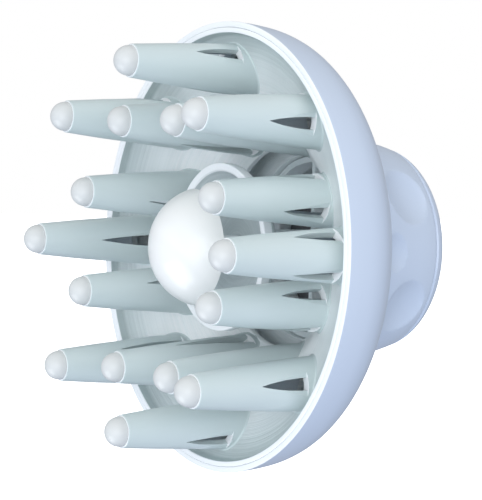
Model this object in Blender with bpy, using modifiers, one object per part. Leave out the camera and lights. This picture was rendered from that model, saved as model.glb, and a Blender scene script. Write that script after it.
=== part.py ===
"""Dryer diffuser: a bowl with sixteen hollow fingers, a baffle in its middle and a swivelling nozzle coupling.

Metres, +Z up. The bowl's axis lies along Y. The fingers point towards -Y, and the dryer comes in from +Y.
The origin is the middle of the coupling's rear face. Every piece is drawn in the bowl's own axes: X to the
side, Y up and Z forward along the axis, from the rear face. One parent turns them all.
"""

import math

import bmesh
import bpy
from mathutils import Matrix, Vector

# Driving dimensions, in millimetres unless they say otherwise.
MM = 0.001
GAP = 0.3  # clearance between pieces that meet
RIM_Z = 72.0  # the rim's plane, forward of the rear face
RIM_RADIUS = 75.0
SHELL_WALL = 2.0
LARGE_STEPS = 40  # facets round a large turned piece
CUP_STEPS = 32
SMALL_STEPS = 24
SCREW_STEPS = 16
FINGER_STEPS = 12
SHARP_ANGLE = 35.0  # degrees between two faces that still shade smooth

DISH_WALL = 1.8
DISH_HOLE_RADIUS = 33.6

FINGERS_PER_RING = 8
OUTER_TIP_RADIUS = 60.1
OUTER_TIP_Z = 106.9
OUTER_LENGTH = 49.4
OUTER_SPLAY = 1.3  # degrees
INNER_TIP_RADIUS = 44.4
INNER_TIP_Z = 99.1
INNER_LENGTH = 53.6
INNER_SPLAY = 1.0  # degrees
FINGER_WALL = 1.2
FINGER_TIP_RADIUS = 5.45
# How far back from the tip, and the radius there.
FINGER_STATIONS = [(0.0, FINGER_TIP_RADIUS), (14.0, 6.75), (38.0, 8.55), (53.6, 8.98)]
FINGER_END_WALL = 3.0
FINGER_HOLE_DEPTH = (30.0, 38.0, 60.0)  # where the hole in the dish starts, bends and ends, back from the tip
SLOT_HALF_WIDTH = 3.2
SLOT_CUT_DEPTH = 10.0
SLOT_CUT_RADIUS = 7.5
SIDE_SLOT_ANGLE = 53.0  # degrees each side of the finger's outward face
SIDE_SLOT = (22.5, 38.3)  # where a slot starts and ends, back from the tip
INNER_INWARD_SLOT = (21.4, 50.5)
OUTER_INWARD_SLOT = (21.4, 45.5)

CAP_RADIUS = 5.15
CAP_STEM_RADIUS = 2.1
CAP_STEM_LENGTH = 4.2

DOME_CENTRE_Z = 75.0
DOME_RADIUS = 20.2
DOME_WALL = 1.8
DOME_BACK_Z = 81.3
POST_RADIUS = 4.0
POST_TOP_Z = 89.0
BAFFLE_RADIUS = 28.0
BAFFLE_FRONT_Z = 71.3
BAFFLE_BACK_Z = 57.8

HUB_RADIUS = 6.0
HUB_BACK_Z = 26.0
SCREW_RADIUS = 1.7
SCREW_HEAD_RADIUS = 3.6
SPIDER_ARMS = 4
SPIDER_ARM_WIDTH = 2.0
SPIDER_ARM_DEPTH = 5.0
SPIDER_ARM_START = 4.0
SPIDER_ARM_END = 30.0
SPIDER_Z = 30.5  # the middle of the arms
SPIDER_RING_BORE = 29.3
SPIDER_RING_Z = (27.0, 34.0)

NECK_RADIUS = 33.6
NECK_END_Z = 19.0
COLLAR_REAR_Z = 6.2
GRIP_HOLLOWS = 6
HOLLOW_SIZE = (11.5, 6.0, 9.5)  # half of its width, depth and length
HOLLOW_CENTRE = (41.2, 17.5)  # (radius, z)
SLEEVE_RADIUS = 31.2
SLEEVE_BORE = 29.4
FLANGE_RADIUS = 33.2
LINER_BORE = 27.0


def clear_scene():
    for item in list(bpy.data.objects):
        bpy.data.objects.remove(item, do_unlink=True)


def new_collection(name):
    group = bpy.data.collections.new(name)
    bpy.context.scene.collection.children.link(group)
    return group


def plastic(name, colour, roughness, metallic=0.0):
    """A Principled material of one colour."""
    material = bpy.data.materials.new(name)
    material.use_nodes = True
    shader = material.node_tree.nodes["Principled BSDF"]
    shader.inputs["Base Color"].default_value = (*colour, 1.0)
    shader.inputs["Roughness"].default_value = roughness
    shader.inputs["Metallic"].default_value = metallic
    return material


def place(name, mesh, material, parent, group, matrix=None):
    """One named object, drawn in the bowl's axes and hung on its parent."""
    piece = bpy.data.objects.new(name, mesh)
    group.objects.link(piece)
    piece.parent = parent
    piece.matrix_local = matrix or Matrix.Identity(4)
    if material:
        mesh.materials.clear()
        mesh.materials.append(material)
    return piece


def turned(name, outline, steps, closed=True):
    """A mesh of a turned shape. The outline holds (radius, z) in millimetres."""
    mesh = bpy.data.meshes.new(name)
    points = [(radius * MM, 0.0, z * MM) for radius, z in outline]
    edges = [(i, i + 1) for i in range(len(points) - 1)]
    if closed:
        edges.append((len(points) - 1, 0))
    mesh.from_pydata(points, edges, [])
    profile = bpy.data.objects.new(name, mesh)
    bpy.context.scene.collection.objects.link(profile)
    screw = profile.modifiers.new("turn", "SCREW")
    screw.steps = steps
    screw.render_steps = steps
    screw.use_merge_vertices = True
    screw.merge_threshold = 1e-6
    return baked(profile)


def baked(source):
    """The object's finished mesh, welded and shaded. The object itself goes."""
    bpy.context.view_layer.update()
    graph = bpy.context.evaluated_depsgraph_get()
    mesh = bpy.data.meshes.new_from_object(source.evaluated_get(graph))
    mesh.name = source.name
    bpy.data.objects.remove(source, do_unlink=True)
    shape = bmesh.new()
    shape.from_mesh(mesh)
    bmesh.ops.remove_doubles(shape, verts=shape.verts, dist=1e-6)
    bmesh.ops.recalc_face_normals(shape, faces=shape.faces)
    shape.to_mesh(mesh)
    shape.free()
    mesh.shade_smooth()
    mesh.set_sharp_from_angle(angle=math.radians(SHARP_ANGLE))
    return mesh


def prism(name, outline, depth):
    """A mesh of a flat outline in XY, extruded to each side of it by half the depth."""
    curve = bpy.data.curves.new(name, "CURVE")
    curve.dimensions = "2D"
    curve.fill_mode = "BOTH"
    curve.extrude = depth * MM / 2
    spline = curve.splines.new("POLY")
    spline.points.add(len(outline) - 1)
    for point, (x, y) in zip(spline.points, outline):
        point.co = (x * MM, y * MM, 0.0, 1.0)
    spline.use_cyclic_u = True
    flat = bpy.data.objects.new(name, curve)
    bpy.context.scene.collection.objects.link(flat)
    return baked(flat)


def combined(mesh, others, operation, cutters):
    """The mesh with each (mesh, matrix) cut from it or joined to it."""
    body = bpy.data.objects.new(mesh.name, mesh)
    bpy.context.scene.collection.objects.link(body)
    for index, (other, matrix) in enumerate(others):
        tool = bpy.data.objects.new(f"{mesh.name}_tool_{index}", other)
        cutters.objects.link(tool)
        tool.matrix_world = matrix
        tool.hide_render = True
        tool.display_type = "WIRE"
        boolean = body.modifiers.new(f"step_{index}", "BOOLEAN")
        boolean.operation = operation
        boolean.object = tool
    return baked(body)


def turn_about_axis(degrees):
    """Turns the bowl's up direction towards +X."""
    return Matrix.Rotation(math.radians(-degrees), 4, "Z")


def arc(radius, centre_z, first, last, count):
    """Points on a circle about the axis, from one angle off the axis to another, in degrees."""
    angles = [math.radians(first + (last - first) * i / (count - 1)) for i in range(count)]
    return [(radius * math.sin(a), centre_z + radius * math.cos(a)) for a in angles]


# The bowl's outer outline: a deep cup with a round shoulder, then the neck.
BOWL_OUTLINE = [
    (RIM_RADIUS, RIM_Z),
    (74.4, 66.0),
    (73.5, 60.0),
    (71.4, 55.0),
    (67.0, 50.0),
    (60.0, 45.0),
    (52.0, 40.0),
    (42.0, 34.6),
    (NECK_RADIUS, 33.8),
    (NECK_RADIUS, NECK_END_Z),
]
# The dish's front surface: a lip inside the rim, then a funnel down to the hole.
DISH_FRONT = [
    (DISH_HOLE_RADIUS, 46.0),
    (36.0, 48.1),
    (42.0, 54.0),
    (49.0, 58.8),
    (56.0, 62.4),
    (65.0, 66.4),
    (69.5, 69.0),
    (71.4, RIM_Z),
]


def offset_inwards(outline, wall):
    """The outline moved towards the axis and forward by the wall, square to its own slope."""
    moved = []
    for i, (radius, z) in enumerate(outline):
        before = Vector(outline[max(i - 1, 0)])
        after = Vector(outline[min(i + 1, len(outline) - 1)])
        along = (after - before).normalized()
        moved.append((radius + along.y * wall, z - along.x * wall))
    return moved


def bowl_mesh():
    inside = offset_inwards(BOWL_OUTLINE, SHELL_WALL)
    inside[0] = (RIM_RADIUS - SHELL_WALL, RIM_Z)
    inside[-2] = (NECK_RADIUS - SHELL_WALL, inside[-2][1])
    inside[-1] = (NECK_RADIUS - SHELL_WALL, NECK_END_Z)
    return turned("bowl_shell", BOWL_OUTLINE + inside[::-1], LARGE_STEPS)


def finger_radius(back):
    """The finger's outer radius this far back from its tip."""
    for (b0, r0), (b1, r1) in zip(FINGER_STATIONS, FINGER_STATIONS[1:]):
        if back <= b1:
            return r0 + (r1 - r0) * (back - b0) / (b1 - b0)
    return FINGER_STATIONS[-1][1]


def finger_matrix(tip_radius, tip_z, splay, degrees):
    """A finger's frame: its origin in the tip's plane, +Z along the finger and +Y outwards."""
    angle = math.radians(degrees)
    tip = Vector((tip_radius * math.sin(angle), tip_radius * math.cos(angle), tip_z)) * MM
    return Matrix.Translation(tip) @ turn_about_axis(degrees) @ Matrix.Rotation(math.radians(-splay), 4, "X")


def slot_mesh(start, end):
    """A pointed window, wide at the finger's root. X runs across it and Y along the finger."""
    length = end - start
    shares = [1.0, 0.55, 0.2, 0.0]
    side = [(SLOT_HALF_WIDTH * share**0.75, -start - length * share) for share in shares]
    mirrored = [(-x, y) for x, y in side[:-1][::-1]]
    return prism("slot", side + mirrored, SLOT_CUT_DEPTH)


def slot_tool(start, end, degrees):
    """A slot's cutter and its place on the finger, at this angle from the outward face."""
    upright = Matrix(((-1, 0, 0, 0), (0, 0, 1, 0), (0, 1, 0, 0), (0, 0, 0, 1)))
    outward = Matrix.Translation((0.0, SLOT_CUT_RADIUS * MM, 0.0))
    return slot_mesh(start, end), turn_about_axis(degrees) @ outward @ upright


def finger_mesh(name, length, inward_slot, cutters):
    wall = FINGER_WALL
    outline = [(finger_radius(back), -back) for back in (0.0, 14.0, 38.0, length)]
    outline += [
        (finger_radius(length) - wall, -length),
        (finger_radius(FINGER_END_WALL) - wall - 0.3, -FINGER_END_WALL),
        (CAP_STEM_RADIUS + GAP, -FINGER_END_WALL),
        (CAP_STEM_RADIUS + GAP, 0.0),
    ]
    slots = [slot_tool(*SIDE_SLOT, SIDE_SLOT_ANGLE), slot_tool(*SIDE_SLOT, -SIDE_SLOT_ANGLE)]
    slots.append(slot_tool(*inward_slot, 180.0))
    return combined(turned(name, outline, FINGER_STEPS), slots, "DIFFERENCE", cutters)


def cap_mesh():
    ball = arc(CAP_RADIUS, GAP, 0.0, 90.0, 4)
    stem = [(CAP_STEM_RADIUS, GAP), (CAP_STEM_RADIUS, -CAP_STEM_LENGTH), (0.0, -CAP_STEM_LENGTH)]
    return turned("finger_cap", ball + stem, FINGER_STEPS, closed=False)


def dish_mesh(fingers, cutters):
    """The funnel-shaped dish, with a hole for each finger's root."""
    back = [(radius, z - DISH_WALL) for radius, z in DISH_FRONT[:-2]]
    lip = [(RIM_RADIUS - SHELL_WALL - GAP, RIM_Z), (72.4, 66.8), (69.5, 66.6)]
    dish = turned("finger_dish", lip + back[::-1] + DISH_FRONT, LARGE_STEPS)
    root = [(finger_radius(back) + GAP, -back) for back in FINGER_HOLE_DEPTH]
    ends = (0.0, -FINGER_HOLE_DEPTH[0]), (0.0, -FINGER_HOLE_DEPTH[-1])
    hole = turned("finger_hole", [ends[0], *root, ends[1]], FINGER_STEPS, closed=False)
    return combined(dish, [(hole, matrix) for matrix in fingers], "DIFFERENCE", cutters)


def dome_mesh():
    edge = math.degrees(math.acos((DOME_BACK_Z - DOME_CENTRE_Z) / DOME_RADIUS))
    inner = DOME_RADIUS - DOME_WALL
    inner_edge = math.degrees(math.acos((DOME_BACK_Z - DOME_CENTRE_Z) / inner))
    boss_radius = POST_RADIUS + GAP + 1.6
    boss = math.degrees(math.asin(boss_radius / inner))
    outline = arc(DOME_RADIUS, DOME_CENTRE_Z, 0.0, edge, 7)
    outline += arc(inner, DOME_CENTRE_Z, inner_edge, boss, 5)
    outline += [
        (boss_radius, DOME_BACK_Z + 2.0),
        (POST_RADIUS + GAP, DOME_BACK_Z + 2.0),
        (POST_RADIUS + GAP, POST_TOP_Z + GAP),
        (0.0, POST_TOP_Z + GAP),
    ]
    return turned("centre_dome", outline, SMALL_STEPS, closed=False)


def baffle_mesh():
    """A shallow cup that turns the air aside. A post holds the dome, and a pilot hole takes the screw."""
    front = BAFFLE_FRONT_Z
    outline = [
        (0.0, POST_TOP_Z),
        (POST_RADIUS, POST_TOP_Z),
        (POST_RADIUS, front - 6.8),
        (11.0, front - 7.2),
        (18.0, front - 5.6),
        (23.5, front - 2.8),
        (25.7, front),
        (BAFFLE_RADIUS, front),
        (BAFFLE_RADIUS, front - 3.3),
        (25.5, front - 6.0),
        (18.0, front - 9.0),
        (8.0, front - 10.6),
        (HUB_RADIUS, BAFFLE_BACK_Z),
        (SCREW_RADIUS + GAP, BAFFLE_BACK_Z),
        (SCREW_RADIUS + GAP, BAFFLE_BACK_Z + 10.0),
        (0.0, BAFFLE_BACK_Z + 10.0),
    ]
    return turned("baffle_cup", outline, CUP_STEPS, closed=False)


def spider_mesh(cutters):
    """A hub on four arms inside the neck's ring. It carries the baffle."""
    hub_front = BAFFLE_BACK_Z - GAP
    bore = SCREW_RADIUS + GAP
    sleeve = [(HUB_RADIUS, hub_front), (HUB_RADIUS, HUB_BACK_Z), (bore, HUB_BACK_Z), (bore, hub_front)]
    hub = turned("baffle_spider", sleeve, SMALL_STEPS)
    ring_radius = NECK_RADIUS - SHELL_WALL - GAP
    back, front = SPIDER_RING_Z
    band = [(ring_radius, front), (ring_radius, back), (SPIDER_RING_BORE, back), (SPIDER_RING_BORE, front)]
    ring = turned("ring", band, LARGE_STEPS)
    start, end, half = SPIDER_ARM_START, SPIDER_ARM_END, SPIDER_ARM_WIDTH / 2
    arm = prism("arm", [(-half, start), (half, start), (half, end), (-half, end)], SPIDER_ARM_DEPTH)
    middle = Matrix.Translation((0.0, 0.0, SPIDER_Z * MM))
    arms = [(arm, turn_about_axis(360 * i / SPIDER_ARMS) @ middle) for i in range(SPIDER_ARMS)]
    return combined(hub, [(ring, Matrix.Identity(4))] + arms, "UNION", cutters)


def screw_mesh():
    outline = [
        (0.0, 66.0),
        (SCREW_RADIUS, 65.0),
        (SCREW_RADIUS, 25.7),
        (SCREW_HEAD_RADIUS, 25.7),
        (SCREW_HEAD_RADIUS, 24.2),
        (2.4, 23.2),
        (0.0, 23.2),
    ]
    return turned("centre_screw", outline, SCREW_STEPS, closed=False)


def collar_mesh(cutters):
    """The hand grip over the neck. A rib inside keeps the coupling in, and hollows take the fingertips."""
    outline = [
        (38.5, 33.4),
        (39.0, 32.0),
        (38.6, 26.0),
        (37.9, 20.0),
        (36.9, 13.0),
        (35.6, 7.4),
        (35.1, COLLAR_REAR_Z),
        (SLEEVE_RADIUS + GAP, COLLAR_REAR_Z),
        (SLEEVE_RADIUS + GAP, 14.0),
        (NECK_RADIUS + 0.4, 14.0),
        (NECK_RADIUS + 0.4, 33.4),
    ]
    ball = turned("hollow", arc(1.0, 0.0, 0.0, 180.0, 9), SCREW_STEPS, closed=False)
    size = Matrix.Diagonal((*HOLLOW_SIZE, 1.0))
    out = Matrix.Translation(Vector((0.0, *HOLLOW_CENTRE)) * MM)
    hollows = [(ball, turn_about_axis(360 * i / GRIP_HOLLOWS) @ out @ size) for i in range(GRIP_HOLLOWS)]
    return combined(turned("grip_collar", outline, LARGE_STEPS), hollows, "DIFFERENCE", cutters)


def coupling_mesh():
    """The ring behind the collar and its sleeve, whose front flange the neck and the collar's rib trap."""
    flange_back = 14.4
    ring_front = COLLAR_REAR_Z - GAP
    outline = [
        (FLANGE_RADIUS, 18.6),
        (FLANGE_RADIUS, flange_back),
        (SLEEVE_RADIUS, flange_back),
        (SLEEVE_RADIUS, ring_front),
        (35.0, ring_front),
        (34.5, 3.4),
        (33.3, 1.2),
        (31.6, 0.0),
        (SLEEVE_BORE, 0.0),
        (SLEEVE_BORE, 18.6),
    ]
    return turned("coupling_ring", outline, LARGE_STEPS)


def liner_mesh():
    """The elastic liner that grips the dryer's nozzle. A bead runs round its bore, and its front lip is the stop."""
    outline = [(30.8, 21.0), (30.8, 18.9), (SLEEVE_BORE - GAP, 18.9), (SLEEVE_BORE - GAP, 1.0), (LINER_BORE, 1.0)]
    outline += [(LINER_BORE, 6.0), (LINER_BORE - 0.8, 8.0), (LINER_BORE, 10.0)]
    outline += [(LINER_BORE, 19.3), (25.0, 19.6), (25.0, 21.0)]
    return turned("grip_liner", outline, LARGE_STEPS)


def main():
    clear_scene()
    parts = new_collection("dryer_diffuser")
    cutters = new_collection("cutters")

    white = plastic("white_shell", (0.66, 0.71, 0.80), 0.32)
    pale = plastic("pale_moulding", (0.62, 0.68, 0.70), 0.36)
    gloss = plastic("white_gloss", (0.84, 0.85, 0.86), 0.22)
    rubber = plastic("grip_rubber", (0.12, 0.12, 0.13), 0.8)
    steel = plastic("screw_steel", (0.56, 0.57, 0.58), 0.35, 1.0)

    frame = bpy.data.objects.new("bowl_frame", None)
    swivel = bpy.data.objects.new("coupling_swivel", None)
    parts.objects.link(frame)
    parts.objects.link(swivel)
    frame.rotation_euler = (math.radians(90), 0.0, 0.0)
    swivel.parent = frame

    rings = (
        ("outer", OUTER_TIP_RADIUS, OUTER_TIP_Z, OUTER_LENGTH, OUTER_SPLAY, 0.0, OUTER_INWARD_SLOT),
        ("inner", INNER_TIP_RADIUS, INNER_TIP_Z, INNER_LENGTH, INNER_SPLAY, 22.5, INNER_INWARD_SLOT),
    )
    cap = cap_mesh()
    places = []
    for label, tip_radius, tip_z, length, splay, first, inward_slot in rings:
        finger = finger_mesh(f"{label}_finger", length, inward_slot, cutters)
        for i in range(FINGERS_PER_RING):
            matrix = finger_matrix(tip_radius, tip_z, splay, first + 360 * i / FINGERS_PER_RING)
            places.append(matrix)
            place(f"{label}_finger_{i + 1}", finger, pale, frame, parts, matrix)
            place(f"{label}_cap_{i + 1}", cap, gloss, frame, parts, matrix)

    place("bowl_shell", bowl_mesh(), white, frame, parts)
    place("finger_dish", dish_mesh(places, cutters), pale, frame, parts)
    place("centre_dome", dome_mesh(), gloss, frame, parts)
    place("baffle_cup", baffle_mesh(), gloss, frame, parts)
    place("baffle_spider", spider_mesh(cutters), pale, frame, parts)
    place("centre_screw", screw_mesh(), steel, frame, parts)
    place("grip_collar", collar_mesh(cutters), white, frame, parts)
    place("coupling_ring", coupling_mesh(), white, swivel, parts)
    place("grip_liner", liner_mesh(), rubber, swivel, parts)


main()
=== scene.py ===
"""Dryer diffuser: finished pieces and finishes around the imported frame.

Shapes are drawn in millimetres in the bowl's own axes: X to the side, Y up, Z forward from the
coupling's rear face. Outlines of turned pieces are lists of (radius, z).
"""

import math
from collections import namedtuple

import bmesh
import bpy
import numpy as np
from mathutils import Matrix, Vector


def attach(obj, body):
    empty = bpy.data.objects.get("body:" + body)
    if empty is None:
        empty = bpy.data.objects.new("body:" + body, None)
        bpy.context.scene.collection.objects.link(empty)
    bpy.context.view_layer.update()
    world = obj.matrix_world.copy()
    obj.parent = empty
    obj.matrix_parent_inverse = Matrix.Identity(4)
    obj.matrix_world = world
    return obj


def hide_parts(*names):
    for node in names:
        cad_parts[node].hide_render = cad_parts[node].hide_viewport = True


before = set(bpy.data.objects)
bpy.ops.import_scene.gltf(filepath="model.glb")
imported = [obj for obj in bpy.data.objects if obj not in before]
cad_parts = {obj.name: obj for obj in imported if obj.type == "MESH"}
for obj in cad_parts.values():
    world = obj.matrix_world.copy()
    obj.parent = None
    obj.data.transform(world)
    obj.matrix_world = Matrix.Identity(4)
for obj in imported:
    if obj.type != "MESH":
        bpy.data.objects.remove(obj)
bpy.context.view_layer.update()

MM = 0.001
TAU = 2 * math.pi
HEAD = "head"
COUPLING = "coupling"
BOWL_AXES = Matrix.Rotation(math.radians(90), 4, "X")
IN_PLACE = Matrix.Identity(4)

# Which of a piece's materials a face takes: its own colour, a lighter copy on inner faces as
# painted light, or a painted highlight on faces turned to the light.
OUTSIDE, INSIDE, PAINTED_HIGHLIGHT_FACE = 0, 1, 2

# Edges sharper than this many degrees aren't smoothed over.
SHARP_ANGLE = 35.0
FINGER_SHARP_ANGLE = 18.0
COLLAR_SHARP_ANGLE = 24.0
# In metres: points closer than the first are one, and edges shorter than the second go.
WELD = 1e-7
SLIVER = 1e-8
CORNER_RADIUS = 0.35
DISH_CORNER_RADIUS = 0.25
LINER_CORNER_RADIUS = 0.4

RIM_Z = 72.0
RIM_RADIUS = 75.0
SHELL_WALL = 2.0
RIM_INNER_RADIUS = RIM_RADIUS - SHELL_WALL
# Faces this far behind the rim's front take the painted highlight.
RIM_FACE_DEPTH = 0.6
RIM_JOINT = 0.05
# How far the shell's inside lies inwards and forwards of its outside.
SHELL_INSET = 1.3
SHELL_ADVANCE = 1.7
SHELL_BACK_Z = 34.5
NECK_RADIUS = 33.6
NECK_BACK_Z = 19.0
NECK_FRONT_Z = 34.0
NECK_BORE_FRONT_Z = 36.2
DISH_WALL = 1.8
DISH_HOLE_RADIUS = 33.9
DISH_EDGE_RADIUS = 69.4

FINGERS_PER_RING = 8
FINGER_TIP_RADIUS = 5.45
# The finger's radius at each distance back from its tip.
FINGER_STATIONS = [(0.0, FINGER_TIP_RADIUS), (14.0, 6.75), (28.0, 7.8), (38.0, 8.6), (60.0, 9.6)]
ROOT_BACK = FINGER_STATIONS[-1][0]
FINGER_BORE_WALL = 1.4
FINGER_BORE_MOST = 5.9
FINGER_END_WALL = 1.5
FLARE = 0.8
FLARE_LEAST = 0.3
FLARE_ROWS = 8
FLARE_SUNK = 0.02
DISH_HOLE_MARGIN = 0.3
# The least cosine of an angle that counts as facing outwards or inwards.
FACING = 0.2
# Where the finger's foot may be, back from its tip, and how often that range is halved.
FOOT_LEAST_BACK = 25.0
FOOT_HALVINGS = 30
# Behind the flare the finger goes on, narrower and this far back, inside the dish's wall.
BURIED_SHARE = 0.97
BURIED_DEPTH = 0.9
BORE_BEYOND_FOOT = 1.0
DRILL_DEPTH = 22.0
DRILL_MIDDLE_BACK = 47.0

# Each slot's angle from the outward side, where it starts, and how far from the dish it ends.
SLOT_PLACES = ((-53.0, 21.6, 2.2), (53.0, 21.6, 2.2), (180.0, 21.0, 1.8))
SLOT_HALF_WIDTH = 2.0
SLOT_POINT_HALF_WIDTH = 0.1
SLOT_TAPER = 0.8
FLAT_HALF_WIDTH = 3.9
FLAT_LEAST_ANGLE = 0.05
SLOT_COLUMNS = 4
COLUMNS_AFTER_SLOT = (14, 16, 16)
ROWS_PER_FINGER = 52
TIP_BEVEL = 0.15
TIP_BEVEL_SHARE = 0.004
# Rows whose shares agree to this many digits, or this closely, are the same row.
SHARE_DIGITS = 5
SAME_SHARE = 1e-4

CAP_RADIUS = 4.98
CAP_HEIGHT = 5.45
CAP_BAND = 0.35
CAP_GAP = 0.04
CAP_EGG_POWER = 0.94
CAP_STEM_RADIUS = 2.1
CAP_STEM_CLEARANCE = 0.1
CAP_STEM_BACK_Z = -4.0

DOME_CENTRE_Z = 75.0
DOME_RADIUS = 20.2
DOME_WALL = 1.8
DOME_BACK_Z = 81.3
DOME_SOCKET_ANGLE = 18.7
BAFFLE_FRONT_Z = 71.3
BAFFLE_EDGE_DEPTH = 0.5
BAFFLE_RADIUS = 28.0

COLLAR_STEPS = 288
COLLAR_SIDE_LEAST = 34.95
HOLLOWS_PER_ROW = 6
HOLLOW_POWER = 0.85
# Each row of hollows: its first angle, half angle, middle z, half height and depth.
HOLLOW_ROWS = ((0, 15.5, 17.6, 8.8, 3.1), (30, 9.5, 25.8, 4.6, 2.1))

LINER_RADIUS = 27.0
LINER_BEAD_Z = 8.0
LINER_BEAD_HALF_LENGTH = 2.0
LINER_BEAD_HEIGHT = 0.8
LINER_BEAD_TURN = 1.57
LINER_BEAD_POINTS = 9

# Where the dish's painted shade, darker towards the rim, is full, and where it has faded out, in
# metres from the axis.
PAINTED_SHADE_FULL_RADIUS = 0.069
PAINTED_SHADE_GONE_RADIUS = 0.050
# Reliefs in metres, and scales of noise in waves to the metre.
PEEL_RELIEF = 0.00001
SMOOTH_RELIEF = 0.000004
RING_RELIEF = 0.00025
DRIFT_SCALE = 18.0
PEEL_SCALE = 900.0
FINE_RING_SCALE = 1100.0
COARSE_RING_SCALE = 300.0
PATCH_SCALE = 30.0

Slot = namedtuple("Slot", "centre start end length flat")


# ---------------------------------------------------------------- shapes


def spline(points, count):
    """A smooth curve through the points, as count points evenly spaced in its parameter."""
    p = np.array(points, float)
    p = np.vstack([2 * p[0] - p[1], p, 2 * p[-1] - p[-2]])
    spans = len(p) - 3
    found = []
    for t in np.linspace(0, spans, count):
        i = min(int(t), spans - 1)
        u = t - i
        a, b, c, d = p[i : i + 4]
        square, cube = 2 * a - 5 * b + 4 * c - d, 3 * b - a - 3 * c + d
        found.append(0.5 * (2 * b + (c - a) * u + square * u**2 + cube * u**3))
    return [tuple(point) for point in found]


def eased(outline, radius, closed=True, steps=4):
    """The outline with its corners rounded, but for those whose sides are nearly in line."""
    nearly_in_line, most_of_side = -0.94, 0.45
    p = [np.array(point, float) for point in outline]
    count = len(p)
    found = []
    for i in range(count):
        if not closed and i in (0, count - 1):
            found.append(tuple(p[i]))
            continue
        before, here, after = p[i - 1], p[i], p[(i + 1) % count]
        u, v = before - here, after - here
        lu, lv = np.linalg.norm(u), np.linalg.norm(v)
        u, v = u / lu, v / lv
        if np.dot(u, v) < nearly_in_line:
            found.append(tuple(here))
            continue
        reach = min(radius, most_of_side * lu, most_of_side * lv)
        a, b = here + u * reach, here + v * reach
        for t in np.linspace(0, 1, steps):
            found.append(tuple((1 - t) ** 2 * a + 2 * t * (1 - t) * here + t**2 * b))
    return found


def arc(radius, centre_z, first, last, count):
    """Points on a circle about the axis, from one angle off the axis to another, in degrees."""
    angles = np.radians(np.linspace(first, last, count))
    return [(radius * math.sin(a), centre_z + radius * math.cos(a)) for a in angles]


def mesh_of(name, points, faces, sharp=SHARP_ANGLE, finishes=None):
    """A smooth-shaded mesh from points in millimetres, with its faces turned outwards.

    finishes holds, for each face, which of the piece's materials it takes.
    """
    mesh = bpy.data.meshes.new(name)
    mesh.from_pydata([tuple(float(c) * MM for c in p) for p in points], [], faces)
    if finishes:
        mesh.polygons.foreach_set("material_index", finishes)
    shape = bmesh.new()
    shape.from_mesh(mesh)
    bmesh.ops.remove_doubles(shape, verts=shape.verts, dist=WELD)
    bmesh.ops.dissolve_degenerate(shape, edges=shape.edges, dist=SLIVER)
    bmesh.ops.recalc_face_normals(shape, faces=shape.faces)
    shape.to_mesh(mesh)
    shape.free()
    mesh.shade_smooth()
    mesh.set_sharp_from_angle(angle=math.radians(sharp))
    return mesh


def skin(rows, closed):
    """Points and faces of a tube given as rows of points, whose last row may meet the first."""
    height, width = len(rows), len(rows[0])
    points = [p for row in rows for p in row]
    faces = []
    for i in range(height if closed else height - 1):
        here, after = i * width, (i + 1) % height * width
        for j in range(width):
            k = (j + 1) % width
            faces.append((here + j, here + k, after + k, after + j))
    return points, faces


def turned(name, outline, steps=160, closed=True, finish_at=None):
    """A piece turned from its outline. finish_at gives the finish at a radius and z."""
    angles = np.linspace(0, TAU, steps, endpoint=False)
    rows = [[(r * math.sin(a), r * math.cos(a), z) for a in angles] for r, z in outline]
    points, faces = skin(rows, closed)
    finishes = None
    if finish_at:
        marks = [finish_at(r, z) for r, z in outline]
        strips = len(faces) // steps
        strip_marks = [min(marks[i], marks[(i + 1) % len(marks)]) for i in range(strips)]
        finishes = [mark for mark in strip_marks for _ in range(steps)]
    return mesh_of(name, points, faces, finishes=finishes)


def cut(mesh, tool):
    """The mesh with the tool's shape taken out of it."""
    body = bpy.data.objects.new("cut_body", mesh)
    cutter = bpy.data.objects.new("cut_tool", tool)
    for item in (body, cutter):
        bpy.context.scene.collection.objects.link(item)
    boolean = body.modifiers.new("cut", "BOOLEAN")
    boolean.operation = "DIFFERENCE"
    boolean.object = cutter
    bpy.context.view_layer.update()
    graph = bpy.context.evaluated_depsgraph_get()
    found = bpy.data.meshes.new_from_object(body.evaluated_get(graph))
    found.name = mesh.name
    for item in (body, cutter):
        bpy.data.objects.remove(item, do_unlink=True)
    found.set_sharp_from_angle(angle=math.radians(SHARP_ANGLE))
    return found


def piece(name, mesh, materials, body, nodes, matrix=IN_PLACE):
    """A finished piece in its place. It rides on its body and stands for the frame's nodes."""
    made = bpy.data.objects.new(name, mesh)
    bpy.context.scene.collection.objects.link(made)
    made.matrix_world = BOWL_AXES @ matrix
    if not mesh.materials:  # the fingers of a ring share one mesh
        for material in materials:
            mesh.materials.append(material)
    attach(made, body)
    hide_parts(*nodes)
    return made


# ---------------------------------------------------------------- bowl and dish

BOWL_CURVE = [
    (RIM_RADIUS, RIM_Z),
    (74.5, 66.0),
    (73.5, 60.0),
    (71.3, 54.8),
    (67.0, 50.0),
    (60.0, 45.0),
    (52.0, 40.2),
    (42.0, 35.0),
]
DISH_CURVE = [
    (DISH_HOLE_RADIUS, 46.2),
    (36.0, 48.1),
    (42.0, 54.0),
    (49.0, 58.8),
    (56.0, 62.4),
    (64.0, 65.9),
    (DISH_EDGE_RADIUS, 68.2),
]
DISH_FRONT = spline(DISH_CURVE, 30)


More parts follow.
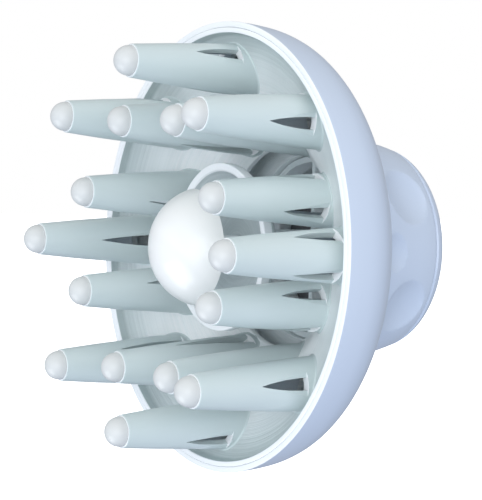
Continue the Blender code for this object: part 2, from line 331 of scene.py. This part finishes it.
def bowl_mesh():
    """The shell with its neck, in three finishes: outside, inside lightened as painted light, and
    the rim's face as a painted highlight.
    """
    outside = spline(BOWL_CURVE, 40)
    inside = [(r - SHELL_INSET, z + SHELL_ADVANCE) for r, z in outside[2:]]
    inside[0] = (RIM_INNER_RADIUS, outside[2][1])
    bore = NECK_RADIUS - SHELL_WALL
    neck = [(NECK_RADIUS, NECK_FRONT_Z), (NECK_RADIUS, NECK_BACK_Z)]
    neck += [(bore, NECK_BACK_Z), (bore, NECK_BORE_FRONT_Z)]
    outline = outside + neck + inside[::-1] + [(RIM_INNER_RADIUS, RIM_Z)]
    # A line within the wall parts the shell's outside from its inside.
    divide_z = [z for _, z in outside[::-1]]
    divide_r = [r - 0.6 for r, _ in outside[::-1]]

    def finish_at(r, z):
        # The rim's face takes the painted highlight, and the shell's and neck's inside the
        # lightened copy, painted light.
        if z > RIM_Z - RIM_FACE_DEPTH:
            return PAINTED_HIGHLIGHT_FACE
        within_shell = z > SHELL_BACK_Z and r < np.interp(z, divide_z, divide_r)
        within_neck = r < NECK_RADIUS - SHELL_WALL / 2
        return INSIDE if within_neck or within_shell else OUTSIDE

    return turned("bowl_shell", eased(outline, CORNER_RADIUS), 256, finish_at=finish_at)


def dish_height(radius):
    """How far forward the dish's front surface is at this radius."""
    return float(np.interp(radius, [r for r, _ in DISH_FRONT], [z for _, z in DISH_FRONT]))


def dish_mesh(places):
    """The dish, with a hole at each finger's place. Its second finish, a painted highlight, is the
    rim's face.
    """
    back = [(r, z - DISH_WALL) for r, z in DISH_FRONT[:-3]]
    edge = RIM_INNER_RADIUS - RIM_JOINT
    lip = [(70.4, 68.9), (71.0, 70.0), (71.3, RIM_Z), (edge, RIM_Z), (edge, 66.8), (70.0, 66.0)]
    outline = eased(DISH_FRONT + lip + back[::-1], DISH_CORNER_RADIUS)
    # The lip's front faces take the painted highlight.
    face_z = RIM_Z - RIM_FACE_DEPTH
    dish = turned("finger_dish", outline, 256, finish_at=lambda r, z: int(z > face_z))
    radius = bore_radius(ROOT_BACK) * MM
    to_dish = Matrix.Translation((0, 0, -DRILL_MIDDLE_BACK * MM))
    tool = bmesh.new()
    for place in places:
        drill = bmesh.ops.create_cone(
            tool, cap_ends=True, segments=40, radius1=radius, radius2=radius, depth=DRILL_DEPTH * MM
        )
        bmesh.ops.transform(tool, matrix=place @ to_dish, verts=drill["verts"])
    cutter = bpy.data.meshes.new("bores")
    tool.to_mesh(cutter)
    tool.free()
    return cut(dish, cutter)


# ---------------------------------------------------------------- fingers


def finger_radius(back):
    """The finger's radius at this distance back from its tip."""
    return float(np.interp(back, [b for b, _ in FINGER_STATIONS], [r for _, r in FINGER_STATIONS]))


def bore_radius(back):
    return min(finger_radius(back) - FINGER_BORE_WALL, FINGER_BORE_MOST)


def round_point(angle, radius, back):
    """A point in a finger's own axes, from its angle off the outward side."""
    return (radius * math.sin(angle), radius * math.cos(angle), -back)


def finger_matrix(tip_radius, tip_z, splay, degrees):
    """A finger's place: its origin in the tip's plane, +Z along the finger and +Y outwards."""
    angle = math.radians(degrees)
    tip = Vector((tip_radius * math.sin(angle), tip_radius * math.cos(angle), tip_z)) * MM
    turn = Matrix.Rotation(-angle, 4, "Z")
    return Matrix.Translation(tip) @ turn @ Matrix.Rotation(math.radians(-splay), 4, "X")


def finger_mesh(name, tip_radius, tip_z, splay):
    """A hollow finger that flares a little into the dish.

    Each of its three pointed slots opens in a flat cut along the finger, which ends in a shelf
    near the root. The mesh is a grid: its columns go round the finger, and its rows go down the
    outside, then down the bore, then along the flare and over the cap's seat.
    """
    place = finger_matrix(tip_radius, tip_z, splay, 0.0)
    back_to_local = place.inverted()

    def in_bowl(point):
        return place @ Vector([c * MM for c in point]) / MM

    def in_finger(point):
        return back_to_local @ (Vector(point) * MM) / MM

    def foot(angle):
        """Where the finger's side meets the dish, back from the tip."""
        low, high = FOOT_LEAST_BACK, ROOT_BACK
        for _ in range(FOOT_HALVINGS):
            middle = (low + high) / 2
            p = in_bowl(round_point(angle, finger_radius(middle), middle))
            if p.z > dish_height(math.hypot(p.x, p.y)):
                low = middle
            else:
                high = middle
        return low

    def flare(angle):
        """How far the root's flare reaches, smaller at the dish's edges."""
        back = foot(angle)
        p = in_bowl(round_point(angle, finger_radius(back), back))
        radius = math.hypot(p.x, p.y)
        outward = math.cos(angle)
        if outward > FACING:
            return min(FLARE, max(FLARE_LEAST, (DISH_EDGE_RADIUS - radius) / outward))
        if outward < -FACING:
            room = radius - DISH_HOLE_RADIUS - DISH_HOLE_MARGIN
            return min(FLARE, max(FLARE_LEAST, room / -outward))
        return FLARE

    def straight(angle):
        return foot(angle) - flare(angle)

    # A row is a share of the way from the tip (0) to the flare (1). Each slot starts on a row of
    # its own and ends on two, one for each edge of its shelf: the second has its flag set.
    slots = []
    for degrees, start, clear in SLOT_PLACES:
        centre = math.radians(degrees)
        length = straight(centre)
        end = foot(centre) - clear
        flat = math.sqrt(finger_radius(end) ** 2 - FLAT_HALF_WIDTH**2)
        slots.append(Slot(centre, start / length, end / length, length, flat))
    keys = {0.0, 1.0, TIP_BEVEL_SHARE}
    for slot in slots:
        keys |= {round(slot.start, SHARE_DIGITS), round(slot.end, SHARE_DIGITS)}
    keys = sorted(keys)
    ends = {round(slot.end, SHARE_DIGITS) for slot in slots}
    rows = [(0.0, False)]
    for a, b in zip(keys, keys[1:]):
        count = max(1, round((b - a) * ROWS_PER_FINGER))
        rows += [(share, False) for share in np.linspace(a, b, count + 1)[1:]]
        if b in ends:
            rows.append((b, True))

    def half_angles(slot, share, inner):
        """Half the slot's width and half its flat's width at this row, as angles."""
        t = min(max((share - slot.start) / (slot.end - slot.start), 0.0), 1.0)
        widening = math.sin(math.pi / 2 * t**SLOT_TAPER)
        width = max(SLOT_POINT_HALF_WIDTH, SLOT_HALF_WIDTH * widening)
        back = min(share, slot.end) * slot.length
        opening = math.asin(width / bore_radius(back)) if inner else math.atan(width / slot.flat)
        face = math.acos(min(1.0, slot.flat / finger_radius(back)))
        return opening, max(face, opening + FLAT_LEAST_ANGLE)

    def columns(share, inner):
        """Each column's angle at this row, with its slot's number or -1."""
        found = []
        for n, slot in enumerate(slots):
            opening, face = half_angles(slot, share, inner)
            zone = [-face, *np.linspace(-opening, opening, SLOT_COLUMNS + 1), face]
            found += [(slot.centre + a, n) for a in zone]
            follower = slots[(n + 1) % len(slots)]
            turn = TAU if n == len(slots) - 1 else 0.0
            after = follower.centre + turn - half_angles(follower, share, inner)[1]
            between = np.linspace(slot.centre + face, after, COLUMNS_AFTER_SLOT[n])[1:-1]
            found += [(a, -1) for a in between]
        return found

    def back_at(share, angle, n):
        """How far back from the tip. A slot's columns share one depth, so its shelf is square."""
        if n < 0:
            return share * straight(angle)
        slot = slots[n]
        if share <= slot.end + SAME_SHARE:
            return share * slot.length
        shelf = slot.end * slot.length
        return shelf + (share - slot.end) / (1 - slot.end) * (straight(angle) - shelf)

    # The slot that each cell between two columns may open in, or -1.
    cells = []
    for n, gap in enumerate(COLUMNS_AFTER_SLOT):
        cells += [-1] + [n] * SLOT_COLUMNS + [-1] * gap
    width = len(cells)

    outer_rows, inner_rows = [], []
    for share, beyond_shelf in rows:
        outer, inner = [], []
        for angle, n in columns(share, False):
            back = back_at(share, angle, n)
            radius = finger_radius(back) - (TIP_BEVEL if share == 0.0 else 0.0)
            if n >= 0 and share <= slots[n].end + SAME_SHARE:
                at_end = abs(share - slots[n].end) < SAME_SHARE
                if not (beyond_shelf and at_end):
                    radius = min(radius, slots[n].flat / math.cos(angle - slots[n].centre))
            outer.append(round_point(angle, radius, back))
        for angle, n in columns(share, True):
            back = max(FINGER_END_WALL, back_at(share, angle, n))
            inner.append(round_point(angle, bore_radius(back), back))
        outer_rows.append(outer)
        inner_rows.append(inner)

    outer_tip, outer_root = columns(0.0, False), columns(1.0, False)
    inner_tip, inner_root = columns(0.0, True), columns(1.0, True)
    flare_rows = []
    for t in np.linspace(0, 1, FLARE_ROWS + 1)[1:]:
        row = []
        for angle, _ in outer_root:
            back, reach = foot(angle), flare(angle)
            first = Vector(round_point(angle, finger_radius(back - reach), back - reach))
            corner = Vector(round_point(angle, finger_radius(back), back))
            outwards = Vector((math.sin(angle), math.cos(angle), 0.0))
            last = in_bowl(corner + outwards * reach)
            last.z = dish_height(math.hypot(last.x, last.y)) - FLARE_SUNK
            last = in_finger(last)
            row.append(tuple((1 - t) ** 2 * first + 2 * t * (1 - t) * corner + t**2 * last))
        flare_rows.append(row)
    buried = [
        (x * BURIED_SHARE, y * BURIED_SHARE, z - BURIED_DEPTH) for x, y, z in flare_rows[-1]
    ]
    bore, seat_radius = bore_radius(ROOT_BACK), CAP_STEM_RADIUS + CAP_STEM_CLEARANCE
    root = [round_point(angle, bore, foot(angle) + BORE_BEYOND_FOOT) for angle, _ in inner_root]
    seat = [round_point(angle, seat_radius, 0.0) for angle, _ in outer_tip]
    seat_back = [round_point(angle, seat_radius, FINGER_END_WALL) for angle, _ in inner_tip]

    grid = outer_rows + inner_rows + flare_rows + [buried, root, seat, seat_back]
    points = [p for row in grid for p in row]
    height = len(rows)
    faces, finishes = [], []

    def is_open(i, j):
        if cells[j] < 0 or i < 0 or i + 1 >= height:
            return False
        slot = slots[cells[j]]
        starts = slot.start - SAME_SHARE <= rows[i][0] < slot.end - SAME_SHARE
        return starts and rows[i + 1][0] <= slot.end + SAME_SHARE

    def face(corners, finish):
        faces.append(corners)
        finishes.append(finish)

    inner_side = height * width
    for i in range(height - 1):
        for j in range(width):
            k = (j + 1) % width
            a, b = i * width + j, i * width + k
            d, c = a + width, b + width
            if is_open(i, j):
                # A slot's end wall by the shelf takes the painted highlight.
                for other, p, q, finish in (
                    (is_open(i, j - 1), d, a, OUTSIDE),
                    (is_open(i, k), b, c, OUTSIDE),
                    (is_open(i - 1, j), a, b, OUTSIDE),
                    (is_open(i + 1, j), c, d, PAINTED_HIGHLIGHT_FACE),
                ):
                    if not other:
                        face((q, p, p + inner_side, q + inner_side), finish)
            else:
                # A shelf takes the painted highlight, and the bore the lighter copy, painted light.
                shelf = rows[i][0] == rows[i + 1][0]
                face((a, b, c, d), PAINTED_HIGHLIGHT_FACE if shelf else OUTSIDE)
                face(tuple(corner + inner_side for corner in (a, d, c, b)), INSIDE)

    def strip(upper, lower, finish):
        """Joins two rows of the grid."""
        for j in range(width):
            k = (j + 1) % width
            u, v = upper * width, lower * width
            face((u + j, u + k, v + k, v + j), finish)

    first_flare = 2 * height
    buried_row = first_flare + FLARE_ROWS
    root_row, seat_row, seat_back_row = buried_row + 1, buried_row + 2, buried_row + 3
    strip(height - 1, first_flare, OUTSIDE)
    for i in range(first_flare, buried_row):
        strip(i, i + 1, OUTSIDE)
    strip(buried_row, root_row, OUTSIDE)
    strip(root_row, first_flare - 1, INSIDE)
    # The cap's seat is a bright ring at the joint: a painted highlight.
    strip(seat_row, 0, PAINTED_HIGHLIGHT_FACE)
    strip(seat_back_row, seat_row, OUTSIDE)
    strip(height, seat_back_row, INSIDE)
    return mesh_of(name, points, faces, FINGER_SHARP_ANGLE, finishes)


def cap_mesh():
    """A rounded cap: a short band, then an egg-shaped end, and the stem behind."""
    turn = np.linspace(0, math.pi / 2, 22)
    rise = CAP_HEIGHT - CAP_BAND
    end = [
        (CAP_RADIUS * math.sin(a) ** CAP_EGG_POWER, CAP_BAND + rise * math.cos(a)) for a in turn
    ]
    end[0] = (0.0, CAP_HEIGHT)
    band = [(CAP_RADIUS, 0.2), (CAP_RADIUS - 0.1, CAP_GAP), (CAP_STEM_RADIUS, CAP_GAP)]
    stem = [(CAP_STEM_RADIUS, CAP_STEM_BACK_Z), (0.0, CAP_STEM_BACK_Z)]
    return turned("finger_cap", end + band + stem, 48, closed=False)


# ---------------------------------------------------------------- middle, collar and coupling


def dome_mesh():
    """A thin dome, with the socket behind that sits on the baffle's post."""

    def edge_angle(radius):
        return math.degrees(math.acos((DOME_BACK_Z - DOME_CENTRE_Z) / radius))

    inner = DOME_RADIUS - DOME_WALL
    outline = arc(DOME_RADIUS, DOME_CENTRE_Z, 0.0, edge_angle(DOME_RADIUS), 40)
    outline += arc(inner, DOME_CENTRE_Z, edge_angle(inner), DOME_SOCKET_ANGLE, 16)
    outline += [(5.9, 83.3), (4.3, 83.3), (4.3, 89.3), (0.0, 89.3)]
    return turned("centre_dome", outline, 128, closed=False)


def cup_mesh():
    """The baffle cup with its post. Its front edge takes a painted highlight, and everything behind
    it its second finish, darkened as painted shade.
    """
    inside_curve = [(4.0, 64.0), (11.0, 64.1), (18.0, 65.7), (23.0, 68.3), (25.7, BAFFLE_FRONT_Z)]
    back = spline([(BAFFLE_RADIUS, 68.0), (25.5, 65.3), (18.0, 62.3), (8.0, 60.7)], 20)
    outline = [(0.0, 89.0), (4.0, 89.0), *spline(inside_curve, 24), (BAFFLE_RADIUS, BAFFLE_FRONT_Z)]
    outline += [*back, (6.0, 57.8), (0.0, 57.8)]
    return turned(
        "baffle_cup",
        eased(outline, CORNER_RADIUS, closed=False),
        closed=False,
        finish_at=lambda r, z: int(z < BAFFLE_FRONT_Z - BAFFLE_EDGE_DEPTH),
    )


def hollow(angle, z, centre, half_angle, middle_z, half_height):
    """How deep a rounded hollow is here, from 0 at its edge to 1 in its middle."""
    across = (angle - centre + 180) % 360 - 180
    d = math.hypot(across / half_angle, (z - middle_z) / half_height)
    return (1 - d * d) ** HOLLOW_POWER if d < 1 else 0.0


def hollow_depth(angle, z):
    """How far the collar's side is set in here by its hollows."""
    depth = 0.0
    for first, half_angle, middle_z, half_height, deepest in HOLLOW_ROWS:
        centres = [first + 360 // HOLLOWS_PER_ROW * n for n in range(HOLLOWS_PER_ROW)]
        shares = [hollow(angle, z, at, half_angle, middle_z, half_height) for at in centres]
        depth += deepest * max(shares)
    return depth


def collar_mesh():
    """The grip collar, with large hollows for the fingertips and small ones between them."""
    side = [(39.05, 32.0), (38.7, 26.0), (38.0, 20.0), (37.0, 13.0), (35.7, 7.6), (35.2, 6.5)]
    outline = [(38.4, 33.4), (38.8, 32.9), *spline(side, 44), (34.9, 6.2)]
    outline += [(31.5, 6.2), (31.5, 14.0), (34.0, 14.0), (34.0, 33.4)]
    rows = []
    for r, z in outline:
        row = []
        for j in range(COLLAR_STEPS):
            angle = 360 * j / COLLAR_STEPS
            radius = r - hollow_depth(angle, z) if r > COLLAR_SIDE_LEAST else r
            a = math.radians(angle)
            row.append((radius * math.sin(a), radius * math.cos(a), z))
        rows.append(row)
    points, faces = skin(rows, closed=True)
    return mesh_of("grip_collar", points, faces, COLLAR_SHARP_ANGLE)


def coupling_mesh():
    """The rounded rear ring, with the sleeve that turns inside the collar."""
    outline = [(33.2, 18.6), (33.2, 14.4), (31.2, 14.4), (31.2, 5.9), (34.6, 5.9)]
    outline += spline([(35.05, 5.3), (34.3, 3.7), (33.0, 2.1), (31.3, 0.75), (29.9, 0.05)], 16)
    outline += [(29.4, 0.0), (29.4, 18.6)]
    return turned("coupling_ring", outline, 200)


def liner_mesh():
    """The soft liner, with one bead that grips the nozzle and a lip in front that stops it."""
    outline = [(30.8, 21.0), (30.8, 18.9), (29.1, 18.9), (29.1, 1.0), (LINER_RADIUS, 1.0)]
    for t in np.linspace(-LINER_BEAD_TURN, LINER_BEAD_TURN, LINER_BEAD_POINTS):
        bead_z = LINER_BEAD_Z + LINER_BEAD_HALF_LENGTH * t / (math.pi / 2)
        outline.append((LINER_RADIUS - LINER_BEAD_HEIGHT * math.cos(t), bead_z))
    outline += [(LINER_RADIUS, 19.3), (25.0, 19.6), (25.0, 21.0)]
    return turned("grip_liner", eased(outline, LINER_CORNER_RADIUS))


# ---------------------------------------------------------------- finishes


class Field:
    """A value, colour or vector in a node tree. Sums and products of values add Math nodes."""

    def __init__(self, nodes, socket):
        self.nodes, self.socket = nodes, socket

    def _math(self, operation, first, second):
        return self.nodes.add("ShaderNodeMath", {"operation": operation}, {0: first, 1: second})

    def __add__(self, other):
        return self._math("ADD", self, other)

    __radd__ = __add__

    def __sub__(self, other):
        return self._math("SUBTRACT", self, other)

    def __rsub__(self, other):
        return self._math("SUBTRACT", other, self)

    def __mul__(self, other):
        return self._math("MULTIPLY", self, other)

    __rmul__ = __mul__


class Nodes:
    """A node tree, and the one way to add to it."""

    def __init__(self, tree):
        self.tree = tree

    def add(self, kind, settings=None, values=None, out=0):
        """A node with its settings made first, then its sockets' values or links."""
        node = self.tree.nodes.new(kind)
        for name, value in (settings or {}).items():
            setattr(node, name, value)
        for key, value in (values or {}).items():
            self.set(node.inputs[key], value)
        return Field(self, node.outputs[out])

    def set(self, socket, value):
        if isinstance(value, Field):
            self.tree.links.new(value.socket, socket)
        else:
            socket.default_value = value

    def mix(self, share, first, second):
        """A colour between two."""
        first, second = (
            (*colour, 1.0) if isinstance(colour, tuple) else colour for colour in (first, second)
        )
        return self.add(
            "ShaderNodeMix", {"data_type": "RGBA"}, {0: share, 6: first, 7: second}, out=2
        )


class Finish(Nodes):
    """A procedural material with one Principled shader."""

    def __init__(self, name, **constants):
        self.material = bpy.data.materials.new(name)
        self.material.use_nodes = True
        super().__init__(self.material.node_tree)
        self.shader = self.tree.nodes["Principled BSDF"]
        self.feed(**constants)

    def feed(self, **fields):
        for socket, value in fields.items():
            self.set(self.shader.inputs[socket.replace("_", " ")], value)

    def place(self):
        """Where a point is in its own piece, in metres."""
        return self.add("ShaderNodeTexCoord", out="Object")

    def radius(self, across):
        """How far a point is from its piece's axis. across is 1 along the axes that count."""
        flat = self.add(
            "ShaderNodeVectorMath", {"operation": "MULTIPLY"}, {0: self.place(), 1: across}
        )
        return self.add("ShaderNodeVectorMath", {"operation": "LENGTH"}, {0: flat}, out="Value")

    def ring(self, radius):
        """A place that depends on the radius alone, so that noise there turns into rings."""
        return self.add("ShaderNodeCombineXYZ", {}, {0: radius, 1: 0.0, 2: 0.0})

    def noise(self, scale, detail=2.0, roughness=0.5, at=None):
        values = {"Vector": at or self.place(), "Scale": scale}
        values |= {"Detail": detail, "Roughness": roughness}
        return self.add("ShaderNodeTexNoise", {}, values)

    def bump(self, height, distance, strength):
        """A normal from a height, where a step from 0 to 1 is this distance in metres."""
        values = {"Height": height, "Distance": distance, "Strength": strength}
        return self.add("ShaderNodeBump", {}, values)


def moulded_plastic(name, colour, shade, roughness, coat=0.15, relief=PEEL_RELIEF):
    """Smooth moulded plastic: a slight drift in colour and gloss, and a faint orange peel."""
    finish = Finish(name, Coat_Weight=coat, Coat_Roughness=0.12, IOR=1.48)
    drift = finish.noise(DRIFT_SCALE)
    peel = finish.noise(PEEL_SCALE)
    finish.feed(
        Base_Color=finish.mix(drift, colour, shade),
        Roughness=roughness + 0.06 * (drift - 0.5) + 0.04 * (peel - 0.5),
        Normal=finish.bump(peel, relief, 0.5),
    )
    return finish.material


def turned_plastic(name, dark, light, roughness, edge=None):
    """Moulded plastic with the fine rings that the mould's turning left in it.

    edge gives two darker colours for the rings near the rim: painted shade, which fades out towards
    the middle.
    """
    finish = Finish(name, Coat_Weight=0.1, Coat_Roughness=0.2, IOR=1.48)
    radius = finish.radius((1.0, 1.0, 0.0))
    ring = finish.ring(radius)
    fine = finish.noise(FINE_RING_SCALE, 3.0, 0.7, at=ring)
    coarse = finish.noise(COARSE_RING_SCALE, 2.0, 0.6, at=ring)
    patchy = finish.noise(PATCH_SCALE)
    relief = (fine * 0.65 + coarse * 0.35) * 3.0 - 1.0
    share = relief * 0.7 + patchy * 0.3
    colour = finish.mix(share, dark, light)
    # Painted shade: the rings grow darker towards the rim.
    if edge:
        span = {"Value": radius, "From Min": PAINTED_SHADE_FULL_RADIUS, "From Max": PAINTED_SHADE_GONE_RADIUS}
        inwards = finish.add("ShaderNodeMapRange", {}, span)
        colour = finish.mix(inwards, finish.mix(share, *edge), colour)
    finish.feed(
        Base_Color=colour,
        Roughness=roughness + 0.12 * (fine - 0.5),
        Normal=finish.bump(relief, RING_RELIEF, 0.8),
    )
    return finish.material


def soft_rubber(name):
    """Dark matt rubber with a fine grain and a little dust."""
    finish = Finish(name, IOR=1.5)
    grain = finish.noise(2600.0, 3.0, 0.7)
    dust = finish.noise(45.0, 3.0)
    finish.feed(
        Base_Color=finish.mix(dust, (0.10, 0.10, 0.105), (0.15, 0.15, 0.155)),
        Roughness=0.72 + 0.15 * dust,
        Normal=finish.bump(grain, 0.00004, 0.8),
    )
    return finish.material


def spun_steel(name):
    """Steel with the fine rings of a lathe about the screw's own axis."""
    finish = Finish(name, Metallic=1.0)
    ring = finish.ring(finish.radius((1.0, 0.0, 1.0)))
    lines = finish.noise(6000.0, 3.0, 0.7, at=ring)
    finish.feed(
        Base_Color=finish.mix(lines, (0.50, 0.51, 0.52), (0.68, 0.68, 0.69)),
        Roughness=0.25 + 0.2 * lines,
        Normal=finish.bump(lines, 0.00002, 0.4),
    )
    return finish.material


# ---------------------------------------------------------------- put together

WHITE = moulded_plastic("shell_white", (0.57, 0.65, 0.78), (0.60, 0.68, 0.80), 0.34, coat=0.25)
PALE = moulded_plastic("finger_pale", (0.54, 0.63, 0.63), (0.60, 0.68, 0.68), 0.36)
# A lighter copy of the finger plastic for the bore: painted light.
BORE_PAINTED_LIGHT = moulded_plastic("finger_bore_painted_light", (0.62, 0.69, 0.74), (0.66, 0.73, 0.78), 0.5, coat=0.0)
# A lighter copy of the white plastic for faces turned to the light: a painted highlight.
PAINTED_HIGHLIGHT = moulded_plastic("painted_highlight_white", (0.86, 0.89, 0.90), (0.88, 0.91, 0.92), 0.34, coat=0.2)
GLOSS = moulded_plastic(
    "dome_white", (0.80, 0.81, 0.79), (0.82, 0.825, 0.805), 0.34, coat=0.2, relief=SMOOTH_RELIEF
)
CAP = moulded_plastic(
    "cap_white", (0.60, 0.62, 0.61), (0.62, 0.635, 0.625), 0.38, relief=SMOOTH_RELIEF
)
# The dish's rings are real; its colour is lifted towards white in the middle as painted light, and
# darkened towards the rim as painted shade.
DISH_RINGS_AND_PAINTED_SHADE = turned_plastic(
    "dish_rings_and_painted_shade",
    (0.82, 0.90, 0.90),
    (1.0, 1.0, 1.0),
    0.38,
    edge=((0.36, 0.43, 0.43), (0.58, 0.65, 0.65)),
)
# The neck's rings are real; its colour is lifted towards white as painted light, where the neck and
# spider lie in shadow.
NECK_RINGS_AND_PAINTED_LIGHT = turned_plastic("neck_rings_and_painted_light", (0.80, 0.90, 0.92), (0.97, 1.0, 1.0), 0.45)
# The cup's rings are real; its darker colour behind the front edge is painted shade.
CUP_RINGS_AND_PAINTED_SHADE = turned_plastic("cup_rings_and_painted_shade", (0.42, 0.49, 0.50), (0.62, 0.68, 0.69), 0.38)
RUBBER = soft_rubber("liner_rubber")
STEEL = spun_steel("screw_steel_finish")

# Each ring of fingers: its name, the tips' radius and z, the splay and the first finger's angle.
RINGS = (
    ("outer", 60.1, 106.9, 1.3, 0.0),
    ("inner", 44.4, 99.1, 1.0, 22.5),
)


def build_fingers():
    """Both rings of fingers with their caps. Returns each finger's place."""
    cap = cap_mesh()
    # The finger's own colour, the bore's painted light, and the painted highlight on shelves and
    # seat.
    finishes = (PALE, BORE_PAINTED_LIGHT, PAINTED_HIGHLIGHT)
    places = []
    for ring, tip_radius, tip_z, splay, first in RINGS:
        finger = finger_mesh(f"{ring}_finger_shape", tip_radius, tip_z, splay)
        for i in range(FINGERS_PER_RING):
            place = finger_matrix(tip_radius, tip_z, splay, first + 360 * i / FINGERS_PER_RING)
            name, node = f"{ring}_slotted_finger_{i + 1}", f"{ring}_finger_{i + 1}"
            piece(name, finger, finishes, HEAD, [node], place)
            name, node = f"{ring}_round_cap_{i + 1}", f"{ring}_cap_{i + 1}"
            piece(name, cap, (CAP,), HEAD, [node], place)
            places.append(place)
    return places


places = build_fingers()
piece("bowl", bowl_mesh(), (WHITE, NECK_RINGS_AND_PAINTED_LIGHT, PAINTED_HIGHLIGHT), HEAD, ["bowl_shell"])
piece("dish", dish_mesh(places), (DISH_RINGS_AND_PAINTED_SHADE, PAINTED_HIGHLIGHT), HEAD, ["finger_dish"])
piece("dome", dome_mesh(), (GLOSS,), HEAD, ["centre_dome"])
piece("baffle", cup_mesh(), (PAINTED_HIGHLIGHT, CUP_RINGS_AND_PAINTED_SHADE), HEAD, ["baffle_cup"])
piece("collar", collar_mesh(), (WHITE,), HEAD, ["grip_collar"])
piece("rear_ring", coupling_mesh(), (WHITE,), COUPLING, ["coupling_ring"])
piece("liner", liner_mesh(), (RUBBER,), COUPLING, ["grip_liner"])
# The spider takes the neck's finish, lifted as painted light.
for node, material in (("baffle_spider", NECK_RINGS_AND_PAINTED_LIGHT), ("centre_screw", STEEL)):
    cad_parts[node].data.materials.clear()
    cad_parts[node].data.materials.append(material)


# ---------------------------------------------------------------- stage, light and camera

AIM = Vector((0.0, -0.0621, -0.001))
VIEW_AZIMUTH = 56.59
VIEW_ELEVATION = 2.19
VIEW_ROLL = 1.574
VIEW_DISTANCE = 0.6606
LENS = 141.49
FLOOR_Z = -0.30
FLOOR_HALF_WIDTH = 12
SOFTBOX_DISTANCE = 1.2
SOFTBOX_SIDE = 0.9
SKY_LOW = (0.74, 0.82, 0.98)
SKY_HIGH = (0.96, 0.98, 1.0)
SKY_BRIGHT_AZIMUTH = 35.0
SKY_BACK = 0.45
SKY_FRONT = 1.2
WHITE_LIGHT = (1.0, 1.0, 1.0)


def direction(azimuth, elevation):
    """A unit vector towards a viewer at this azimuth and elevation, in degrees."""
    a, e = math.radians(azimuth), math.radians(elevation)
    return Vector((math.sin(a) * math.cos(e), -math.cos(a) * math.cos(e), math.sin(e)))


def softbox(name, azimuth, elevation, watts):
    light = bpy.data.lights.new(name, "AREA")
    light.shape = "SQUARE"
    light.size = SOFTBOX_SIDE
    light.energy = watts
    lamp = bpy.data.objects.new(name, light)
    bpy.context.scene.collection.objects.link(lamp)
    towards = direction(azimuth, elevation)
    lamp.location = AIM + towards * SOFTBOX_DISTANCE
    lamp.rotation_euler = towards.to_track_quat("Z", "Y").to_euler()


def add_floor():
    mesh = bpy.data.meshes.new("floor")
    side = FLOOR_HALF_WIDTH
    corners = [(-side, -side), (side, -side), (side, side), (-side, side)]
    mesh.from_pydata([(x, y, FLOOR_Z) for x, y in corners], [], [(0, 1, 2, 3)])
    floor = bpy.data.objects.new("floor", mesh)
    bpy.context.scene.collection.objects.link(floor)
    white = (*WHITE_LIGHT, 1.0)
    finish = Finish("pale_floor", Roughness=0.9, Emission_Color=white, Emission_Strength=1.0)
    finish.feed(Base_Color=finish.mix(finish.noise(3.0), (0.90, 0.90, 0.90), (0.93, 0.93, 0.93)))
    mesh.materials.append(finish.material)
    floor.visible_diffuse = False
    floor.visible_glossy = False


def add_sky():
    """A white studio, brighter on the viewer's side and bluer from below."""
    world = bpy.data.worlds.new("studio")
    bpy.context.scene.world = world
    world.use_nodes = True
    sky = Nodes(world.node_tree)
    way = sky.add("ShaderNodeTexCoord", out="Generated")
    up = sky.add("ShaderNodeSeparateXYZ", {}, {0: way}, out="Z")
    height = sky.add("ShaderNodeMapRange", {}, {"Value": up, "From Min": -0.8, "From Max": 0.8})
    tint = sky.mix(height, SKY_LOW, SKY_HIGH)
    bright_side = direction(SKY_BRIGHT_AZIMUTH, 0.0)
    facing = sky.add(
        "ShaderNodeVectorMath", {"operation": "DOT_PRODUCT"}, {0: way, 1: bright_side}, out="Value"
    )
    span = {"Value": facing, "From Min": -0.7, "From Max": 0.9}
    spread = sky.add("ShaderNodeMapRange", {}, span | {"To Min": SKY_BACK, "To Max": SKY_FRONT})
    lit = sky.add("ShaderNodeVectorMath", {"operation": "SCALE"}, {0: tint, "Scale": spread})
    seen = sky.mix(sky.add("ShaderNodeLightPath", out="Is Camera Ray"), lit, WHITE_LIGHT)
    background = sky.tree.nodes["Background"]
    sky.set(background.inputs["Color"], seen)
    sky.set(background.inputs["Strength"], 1.0)


def add_camera():
    camera = bpy.data.cameras.new("camera")
    camera.lens = LENS
    camera.clip_start = 0.01
    viewer = bpy.data.objects.new("camera", camera)
    bpy.context.scene.collection.objects.link(viewer)
    back = direction(VIEW_AZIMUTH, VIEW_ELEVATION)
    right = Vector((0, 0, 1)).cross(back).normalized()
    up = back.cross(right)
    tilt = math.radians(VIEW_ROLL)
    across = right * math.cos(tilt) + up * math.sin(tilt)
    above = back.cross(across)
    turn = Matrix((across, above, back)).transposed().to_4x4()
    viewer.matrix_world = Matrix.Translation(AIM + back * VIEW_DISTANCE) @ turn
    bpy.context.scene.camera = viewer


add_floor()
add_sky()
add_camera()
softbox("front_light", azimuth=44, elevation=0, watts=5.8)
softbox("top_light", azimuth=70, elevation=65, watts=1)
softbox("low_light", azimuth=-20, elevation=-45, watts=10)
bpy.context.scene.view_settings.view_transform = "Standard"

bpy.context.view_layer.update()
